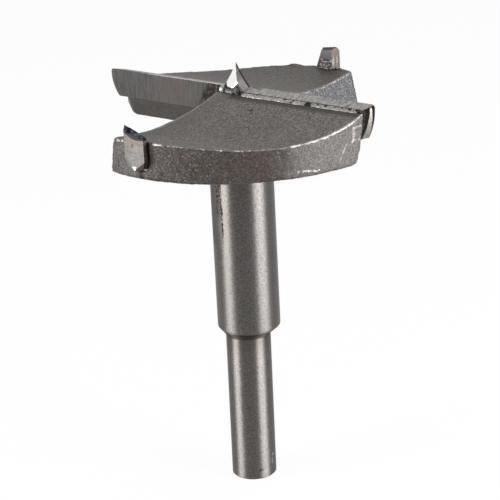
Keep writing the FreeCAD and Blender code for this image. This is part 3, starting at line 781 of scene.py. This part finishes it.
# The rear spur's top falls away from a ridge to both sides, most to the outside.
rear_ridge_y = 34.35
rear_top_level = 91.0
fall_inside = 0.35
fall_outside = 0.84
ridge_rise = 0.10
whole_spur = copy_of("rear_spur", "whole_spur")
cut_across(whole_spur, (0, rear_ridge_y, 0), (0, 1, 0))
for vertex in whole_spur.data.vertices:
    spot_x, spot_y, spot_z = vertex.co / mm
    if spot_z > rear_top_level:
        beyond_ridge = spot_y - rear_ridge_y
        fall = fall_inside if beyond_ridge < -0.45 else fall_outside if beyond_ridge > 0.45 else -ridge_rise
        vertex.co.z -= fall * mm
for spur, node in ((worn_spur, "front_spur"), (whole_spur, "rear_spur")):
    bpy.ops.object.select_all(action="DESELECT")
    spur.select_set(True)
    bpy.context.view_layer.objects.active = spur
    bpy.ops.mesh.customdata_custom_splitnormals_clear()
    bpy.ops.object.shade_smooth_by_angle(angle=math.radians(28))
    spur.data.materials.append(spur_carbide)
    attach(spur, "root")
    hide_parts(node)


# Braze: silver solder that ran out behind the blades and beside the spurs, lumpy and pitted, with dark
# glassy flux in its hollows. The solids' meshes are remeshed finely and made uneven.
silver, paint = new_finish("silver_braze")
spot, x, y, z = paint.place()
lumps = paint.noise(spot, 0.7, 3.0, 0.6)
flecks = paint.noise(spot, 0.30, 2.0, 0.6)
bright = paint.mix(paint.ramp(flecks, 0.34, 0.64), (0.160, 0.149, 0.138, 1), (0.340, 0.322, 0.303, 1))
bright = paint.mix(paint.dots(spot, 0.8, 0.4) * 0.8, bright, (0.50, 0.48, 0.46, 1))
# Dark glassy flux fills the seams' pits, the spurs' gaps and most of the lump behind the rear spur. The
# point blade's seam has one large hole and three small ones.
pits = paint.ramp(paint.noise(spot, 0.95, 2.0, 0.55) + paint.ramp(abs(y), 2.0, 2.7) * 0.06, 0.42, 0.37)
for centre, reach in (((20.5, -2.45, 89.6), (1.05, 1.1, 1.4)), ((25.0, -2.1, 89.6), (0.45, 0.45, 1.2)),
                      ((31.0, -2.0, 89.6), (0.75, 0.45, 1.2)), ((32.8, -2.0, 89.6), (0.50, 0.45, 1.2))):
    pits = paint.math("MAXIMUM", pits, paint.blob(spot, centre, reach, 0.8))
in_gap = paint.ramp(abs(y), 32.95, 33.1)
radius = paint.math("SQRT", x * x + y * y)
on_lump = paint.ramp(abs(y), 31.5, 32.0) * paint.ramp(y, -0.5, 0.5)
blade_side = paint.ramp(abs(y), 2.35, 2.15) * paint.ramp(abs(x), 2.6, 3.4)
pits = paint.math("MAXIMUM", pits, blade_side * paint.dots(spot, 1.0, 0.6))
on_beads = paint.ramp(abs(x), 2.6, 2.4) * paint.ramp(radius, 5.0, 4.0)
lump_flux = on_lump * (paint.ramp(lumps, 0.60, 0.50) * 0.5 + 0.45)
dark_bead = paint.blob(spot, (1.35, -2.1, 90.5), (1.0, 1.0, 1.3), 0.5) * 0.88
flux = paint.math("MAXIMUM", paint.math("MAXIMUM", pits, in_gap * 0.9),
                  paint.math("MAXIMUM", lump_flux, paint.math("MAXIMUM", dark_bead, on_beads * 0.55)))
# The ball in the pocket is clean, and so are two spots beside the front spur.
ball_place = (-2.85, -1.55, 90.05)
ball_half = (0.76, 0.70, 0.90)
for centre, reach in ((ball_place, (1.4, 1.2, 1.5)), ((2.95, -34.35, 86.6), (0.45, 0.6, 0.4)),
                      ((2.7, -33.9, 87.4), (0.6, 0.5, 0.35))):
    flux = flux * (1 - paint.blob(spot, centre, reach))
paint.shader({
    "Base Color": paint.mix(flux, bright, (0.024, 0.018, 0.014, 1)),
    "Metallic": 0.5 + flux * 0.4,
    "Roughness": 0.36 + on_beads * 0.22,
    "Normal": paint.bump(lumps * 0.5 + flecks * 0.5, 0.05),
})
braze_voxel = 0.10
braze_unevenness = 0.16
ball_unevenness = 0.05


def run_out(piece, depth):
    """Remeshes a piece of braze finely and makes it uneven by that depth, then gives it its finish."""
    modified(piece, "REMESH", {"mode": "VOXEL", "voxel_size": braze_voxel * mm, "use_smooth_shade": True})
    uneven = bpy.data.textures.new(piece.name + "_uneven", "CLOUDS")
    uneven.noise_scale = 0.9 * mm
    uneven.noise_depth = 2
    modified(piece, "DISPLACE", {"texture": uneven, "texture_coords": "LOCAL", "mid_level": 0.45,
                                 "strength": depth * mm})
    piece.data.materials.append(silver)
    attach(piece, "root")


for node in ("point_braze", "plain_braze", "front_braze", "rear_braze", "rear_lump"):
    run = copy_of(node, node + "_run")
    run_out(run, braze_unevenness)
    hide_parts(node)

# Beads that stuck round the point's foot, each with its place and half sizes, then the ball in the
# pocket beside it.
beads = (
    ((-0.9, -2.15, 89.95), (0.75, 0.45, 0.55)),
    ((0.15, -2.25, 89.95), (0.65, 0.50, 0.55)),
    ((1.35, -2.10, 90.35), (0.75, 0.50, 1.05)),
)
bpy.ops.object.select_all(action="DESELECT")
for index, (place, half) in enumerate(beads):
    bpy.ops.mesh.primitive_ico_sphere_add(subdivisions=3, radius=mm, location=Vector(place) * mm, scale=half)
    if index:
        beaded.select_set(True)
        bpy.context.view_layer.objects.active = beaded
        bpy.ops.object.join()
    else:
        beaded = bpy.context.object
        beaded.name = "point_beads"
bpy.ops.object.transform_apply(location=True, rotation=True, scale=True)
run_out(beaded, braze_unevenness)
bpy.ops.object.select_all(action="DESELECT")
bpy.ops.mesh.primitive_ico_sphere_add(subdivisions=4, radius=mm, location=Vector(ball_place) * mm,
                                      rotation=(0, math.radians(20), 0), scale=ball_half)
ball = bpy.context.object
ball.name = "pocket_ball"
bpy.ops.object.transform_apply(location=True, rotation=True, scale=True)
run_out(ball, ball_unevenness)
